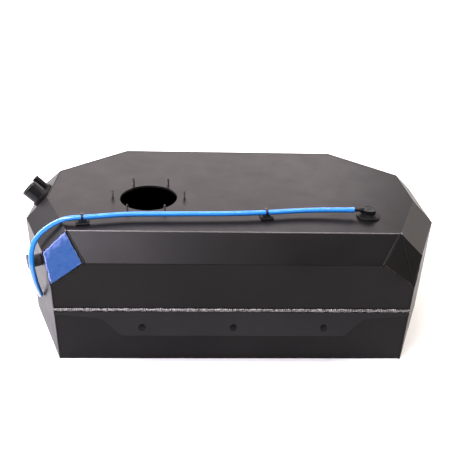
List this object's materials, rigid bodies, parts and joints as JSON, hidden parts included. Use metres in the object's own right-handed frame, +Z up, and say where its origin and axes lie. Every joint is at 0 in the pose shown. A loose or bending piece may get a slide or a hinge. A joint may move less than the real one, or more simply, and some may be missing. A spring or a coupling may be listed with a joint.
{
  "type": "vehicle fuel tank",
  "caption": "Bevelled octagonal steel liquid tank with a studded pump opening, filler and breather pipes, a float vent valve with its hose, and a front mounting bracket.",
  "frame": {"origin": "centre of the tank's flat bottom face, midway between its walls", "axes": "+X to the right along the tank's width, +Y to the rear, +Z up; the bracket is at the front, on -Y"},
  "size_m": [0.956, 0.5618, 0.3188],
  "materials": {
    "powder_coat": "satin black powder coat on sheet steel",
    "weld_coat": "powder-coated weld bead",
    "pipe_gloss_black": "gloss black paint on steel tube",
    "stud_steel": "darkened threaded steel",
    "black_plastic": "moulded black plastic",
    "black_rubber": "matt black rubber",
    "float_plastic": "natural plastic",
    "spring_steel": "bright spring wire",
    "hose_blue": "smooth blue plastic hose",
    "film_blue": "thin blue film"
  },
  "bodies": {
    "tank": {"top_plate": "powder_coat", "bottom_plate": "powder_coat", "front_panel": "powder_coat", "front_right_panel": "powder_coat", "right_panel": "powder_coat", "rear_right_panel": "powder_coat", "rear_panel": "powder_coat", "rear_left_panel": "powder_coat", "left_panel": "powder_coat", "front_left_panel": "powder_coat", "front_left_gusset": "powder_coat", "front_right_gusset": "powder_coat", "baffle_1": "powder_coat", "baffle_2": "powder_coat", "stud_ring": "powder_coat", "filler_flange": "powder_coat", "outlet_stub": "powder_coat", "front_bracket": "powder_coat", "bracket_weld": "weld_coat", "filler_pipe": "pipe_gloss_black", "breather_pipe": "pipe_gloss_black", "pump_stud_1": "stud_steel", "pump_stud_2": "stud_steel", "pump_stud_3": "stud_steel", "pump_stud_4": "stud_steel", "pump_stud_5": "stud_steel", "pump_stud_6": "stud_steel", "valve_housing": "black_plastic", "valve_cap": "black_plastic", "tie_mount_1": "black_plastic", "tie_mount_2": "black_plastic", "cable_tie_1": "black_plastic", "cable_tie_2": "black_plastic", "outlet_cap": "black_rubber", "valve_seal": "black_rubber", "float_spring": "spring_steel", "breather_hose": "hose_blue", "corner_film": "film_blue"},
    "float": {"valve_float": "float_plastic"}
  },
  "joints": [
    {"name": "float_lift", "type": "slide", "parent": "tank", "child": "float", "axis": [0, 0, 1], "range_m": [0, 0.006], "deforming": ["float_spring"]}
  ]
}
